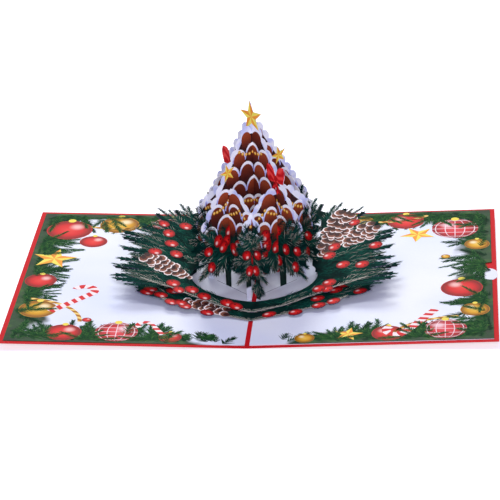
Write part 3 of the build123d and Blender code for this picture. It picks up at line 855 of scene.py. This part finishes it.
end_berries = ((3.0, 16.0, 30.0), (1.0, 5.0, 70.0))
foot = 15.0
for word, rising, sign in (("rising", True, 1), ("falling", False, -1)):
    for place, distance in (("centre", 0.0), ("front", sign * panel_gap), ("back", -sign * panel_gap)):
        node = "tree_panel_" + word + "_" + place
        wear(node, panel_card)
        centre = place == "centre"
        hem = 36.0 if centre else 23.0
        for face, label in ((1, "a"), (-1, "b")):
            chance = random.Random(node + label)
            sheet = []
            scale_rows(sheet, centre, chance)
            if centre:
                bead_string(sheet, ((-11, 89), (0, 86.5), (11, 89)), 1.6)
                bead_string(sheet, ((-33, 55), (-21, 60), (-8, 56), (8, 56), (21, 60), (33, 55)), 1.5)
            else:
                bead_string(sheet, ((-22, 49), (-10, 56), (0, 51), (10, 56), (22, 49)), 1.0)
            if centre and rising:
                for side in (-1, 1):
                    flat_star(sheet, side * panel_gap, 78.0, 6.2, gold_ink, radians(10), 0.11, 0.40)
            elif centre:
                flat_star(sheet, 0.0, 109.3, 10.4, gold_ink, radians(5.5), 0.11, 0.40)
                for side in (-1, 1):
                    bow_print(sheet, side * panel_gap, 74.0, 16.0)
            for side in (-1, 1):
                for number, (out, rise, heading) in enumerate(end_berries):
                    turn = radians(heading if side > 0 else 180 - heading)
                    berry(sheet, side * (hem + out), foot + rise, 3.1, turn, 0.128 + 0.002 * number)
            for i in range(18 if centre else 11):
                s = chance.uniform(-hem, hem)
                z = chance.uniform(17, 42) - 3 * (1 - abs(s) / hem)
                berry(sheet, s, z, chance.uniform(3.1, 3.7), chance.uniform(0.6, 2.2), 0.132 + 0.002 * i)
            inner, rim = panel_stems(chance, hem, 70 if centre else 42)
            if node == "tree_panel_falling_front":
                rim += [(25.0, 12.0, turn, 7.5, 5.0, 0.0) for turn in (-90.0, -50.0, -130.0, -70.0, -110.0)]
            layers = (
                layer(rim + inner[::2], spruce_ink, 11, (0.080, 0.10), (0.0, 0.5), 0.55, 0.32, 0.8),
                layer(inner[1::2], spruce_ink, 12, (0.10, 0.12), (0.1, 0.8), 0.55, 0.32, 0.8),
                layer(rim[::2] + inner[::18], frost_ink, 13, (0.12, 0.126), (0.0, 0.8), 1.4, 0.26, 0.8),
            )
            spot = panel_spot(rising, distance, face)
            print_piece(node + "_print_" + label, sheet, layers, spot)

# Wreath sheets
# Two die-cut sheets, one above the other, folded at the card's fold and printed on their upper
# faces with fir, cones and berries. Their front edges and some of the needles are frosted.


def fir_and_painted_shade_colours(tree):
    """Wreath card: dark fir printed above, and below a dull violet that is painted shade, for the shadow
    under the wings.
    """
    place = add(tree, "ShaderNodeTexCoord").outputs["Object"]
    soft = add(tree, "ShaderNodeTexNoise", place, None, 150.0, 3.0).outputs["Fac"]
    green = ramp(tree, soft, (0.3, (3, 18, 20)), (0.55, (6, 38, 34)), (0.75, (14, 60, 50)))
    normal = add(tree, "ShaderNodeNewGeometry").outputs["Normal"]
    facing = add(tree, "ShaderNodeSeparateXYZ", normal).outputs[2]
    # The dull violet on the downward faces is painted shade under the wings.
    return blend(tree, step(tree, facing, 0.2, 0.6), (84, 76, 104), green)


wreath_card = card_stock("wreath card", fir_and_painted_shade_colours, speckle=0.04, rough=0.8, sheen=0.03)
cream_ink = card_stock("frosted edge ink", (206, 196, 184), speckle=0.3, grain=700.0)
cone_rim = card_stock("cone rim ink", (250, 240, 236), speckle=0.1, grain=600.0)
cone_ink = card_stock(
    "cone ink",
    lambda tree: ramp(
        tree, sums(tree, "MULTIPLY_ADD", local(tree)[0], 0.35, 0.5),
        (0.1, (40, 18, 18)), (0.5, (100, 52, 38)), (0.9, (160, 104, 80)),
    ),
)


def wing_spot(front, height, slope, rise):
    """Place on a folded sheet's upper face of a point given across and back from its front."""

    def spot(u, v, lift):
        side = 1 if u >= 0 else -1
        along = Vector((0, 1, slope)).normalized()
        out = Vector((1, 0, side * rise))
        across = (out - along * out.dot(along)).normalized()
        return Vector((0, -front, height)) + across * u + along * v + across.cross(along) * (0.3 + lift)

    return spot


def cone_print(sheet, chance, x, y, heading, length, width, lift=0.06):
    """Pine cone from its foot to its tip: pale-rimmed scales in rows over a dark core."""
    turn = radians(heading)
    middle = (x + 0.45 * length * cos(turn), y + 0.45 * length * sin(turn))
    disc(sheet, *middle, 0.40 * width, recess_ink, lift, 1.15 * length / width, turn)
    rows = round(length / 4.6)
    for i in range(rows, -1, -1):
        along = length * (i + 0.3) / (rows + 0.8)
        share = sin(pi * (0.24 + 0.68 * i / rows)) ** 0.8
        count = max(1, round(width * share / 5.0)) + i % 2
        for j in range(count):
            off = (j - (count - 1) / 2) * width * share / count + chance.uniform(-1.0, 1.0)
            swing = turn + off * 0.12 + chance.uniform(-0.6, 0.6)
            here = along + chance.uniform(-1.4, 1.4) - 0.03 * off * off
            px, py = x + here * cos(turn) - off * sin(turn), y + here * sin(turn) + off * cos(turn)
            size = (2.2 + 0.6 * share) * chance.uniform(0.7, 1.3)
            for back, share_of, paint, rise, stretch, sides in (
                (0.0, 1.0, cone_rim, 0.004, 1.05, 7), (0.6, 0.87, cone_ink, 0.006, 1.05, 8),
                (1.9, 0.5, recess_ink, 0.008, 1.4, 7),
            ):
                spot = (px - back * cos(swing), py - back * sin(swing))
                high = lift + rise + 0.006 * (rows - i)
                disc(sheet, *spot, size * share_of, paint, high, stretch, swing, sides=sides)


hole_half, hole_waist, hole_round, waist_length, hole_side, hole_back = 39.4, 35.6, 23.5, 33.7, 24.5, 8.0
# Each sheet: its place for wing_spot, its hole's start, the right half of its outline from the fold's
# front to the back, fans as place, heading and length, berries as place and heading, and cones.
wings = {
    "wreath_lower": {
        "place": (64.0, 0.9437, 0.12, 0.06), "hole": 20.0,
        "ring": (
            (0, 0), (18, 5), (36, 11), (47, 15), (58, 22.5), (70, 30), (76, 42), (72, 58), (60, 74), (50, 92),
            (0, 113),
        ),
        "fans": (
            (58, 24, 22, 16), (64, 36, 28, 19), (64, 48, 20, 28), (58, 60, 24, 24), (54, 72, 34, 22),
            (48, 86, 56, 18),
        ),
        "rim berries": ((27, 7, 18), (41, 13.5, 22), (50, 17.5, 28), (66, 27.5, 22)),
        "berries": {
            -1: ((64, 31, 10), (57, 25, 20), (50, 30, 15), (44, 17, 30)),
            1: ((40, 21.5, 25), (51, 30, 30), (67, 43, 25), (56, 36, 20), (11, 6, 20)),
        },
        "cones": ((-15, 9, 159, 30, 12),),
    },
    "wreath_upper": {
        "place": (54.8, 2.3704, 0.20, 0.10), "hole": 10.8,
        "ring": (
            (0, 0), (19, 4), (35, 11.5), (52, 20), (70, 27), (74, 42), (73, 58), (72, 70), (62, 80), (52, 95),
            (0, 107),
        ),
        "fans": (
            (62, 23, 4, 25), (64, 30, -4, 24), (62, 37, 6, 21), (64, 45, 3, 22), (62, 53, 12, 24),
            (62, 61, 20, 26), (62, 69, 14, 25), (58, 76, 22, 18), (54, 84, 48, 20), (48, 91, 62, 15),
            (36, 100, 74, 12), (22, 104, 78, 9),
        ),
        "rim berries": ((46, 17.5, 25), (61, 87, 40)),
        "berries": {
            -1: (
                (47, 86, 30), (57, 77, 60), (54.5, 66, 20), (50.5, 55, 40), (64, 56, 10), (50, 24, 15),
                (38, 18.5, 25), (30, 12.5, 25), (15.5, 7.5, 25), (10, 4.8, 20),
            ),
            1: (
                (49, 62, 60), (46, 53, 40), (55, 42, 30), (67, 40.5, 25), (47, 24, 25), (41, 18.5, 30),
                (75, 60, 20),
            ),
        },
        "cones": ((55, 98, -107, 48, 18), (73, 82, -130, 27, 16), (-69, 50, -34, 36, 13)),
    },
}


def on_wing(u, v, ring, start):
    """Whether a place is on the wing, within its ring and outside the hole round the tree."""
    u = abs(u)
    crossings = 0
    for (a, b), (c, d) in zip(ring, ring[1:] + ring[:1]):
        if (b > v) != (d > v) and u < a + (c - a) * (v - b) / (d - b):
            crossings += 1
    middle = start + hole_round
    shoulder = middle + waist_length
    end = shoulder + hole_side
    in_hole = (u / hole_half) ** 2 + ((v - middle) / hole_round) ** 2 < 1
    in_hole = in_hole or (middle < v < shoulder and u < hole_waist) or (shoulder < v < end and u < hole_half)
    in_hole = in_hole or (u / hole_half) ** 2 + ((v - end) / hole_back) ** 2 < 1
    return crossings % 2 == 1 and not in_hole


def wing_stems(wing, chance, count):
    """Stems along the cut fans, and those that fill the ring between them and the hole."""
    edge, fill = [], []
    for side in (-1, 1):
        for x, y, heading, length in wing["fans"]:
            for shift, bend, share in ((0.0, 0.0, 0.95), (2.0, 8.0, 0.7), (-2.0, -8.0, 0.7)):
                turn = heading + bend if side > 0 else 180 - heading - bend
                edge.append((side * (x - 6), y + shift, turn, (length + 7.5) * share, 6.2, 0))
        placed = 0
        while placed < count:
            u, v = chance.uniform(4, 76), chance.uniform(2, 108)
            turn = 18 + max(0.0, v - 55) * 0.8 - max(0.0, 30 - v) * 0.1 + chance.uniform(-22, 22)
            length, needle = chance.uniform(9, 15), chance.uniform(4.5, 6.5)
            tip = (u + length * cos(radians(turn)), v + length * sin(radians(turn)))
            near = (tip[0] + needle * 0.5 * sin(radians(turn)), tip[1] - needle * 0.5 * cos(radians(turn)))
            if all(on_wing(*place, wing["ring"], wing["hole"]) for place in ((u, v), tip, near)):
                fill.append((side * u, v, turn if side > 0 else 180 - turn, length, needle, 0))
                placed += 1
    return edge, fill


for seed, (node, wing) in enumerate(wings.items(), 31):
    wear(node, wreath_card)
    chance = random.Random(seed)
    sheet, fringe = [], []
    lower = node == "wreath_lower"
    for side in (-1, 1):
        for i, (x, y, heading) in enumerate(wing["rim berries"] + wing["berries"][side]):
            turn = radians(heading if side > 0 else 180 - heading)
            radius = 3.1 if lower or i < len(wing["rim berries"]) else 3.6
            berry(sheet, side * x, y, radius, turn, 0.13 + 0.002 * i, 1.45 if lower else 1.25)
        front_edge = [(side * x, y + 0.3) for x, y in wing["ring"][:5]]
        band(sheet, front_edge[::side], 0.45, cream_ink, 0.058)
        for (x0, y0), (x1, y1) in zip(front_edge, front_edge[1:]):
            heading, run = degrees(atan2(y1 - y0, x1 - x0)), hypot(x1 - x0, y1 - y0)
            fringe.append((x0, y0 + 0.4, heading, run, 2.6, 0))
    for x, y, heading, length, width in wing["cones"]:
        cone_print(sheet, chance, x, y, heading, length, width)
    edge, fill = wing_stems(wing, chance, 60)
    layers = (
        layer(edge, spruce_ink, seed, (0.01, 0.03), (0.05, 0.75), 0.6, 0.36, 0.62),
        layer(fill, spruce_ink, seed + 1, (0.03, 0.05), (0.0, 0.85), 0.6, 0.36, 0.62),
        layer(edge[1::3] + fill[::15], frost_ink, seed + 2, (0.05, 0.056), (0.0, 0.8), 1.6, 0.26, 0.62),
        layer(fringe, frost_ink, seed + 3, (0.056, 0.06), (0.3, 1.0), 0.8, 0.30, 0.9),
    )
    print_piece(node + "_print", sheet, layers, wing_spot(*wing["place"]))
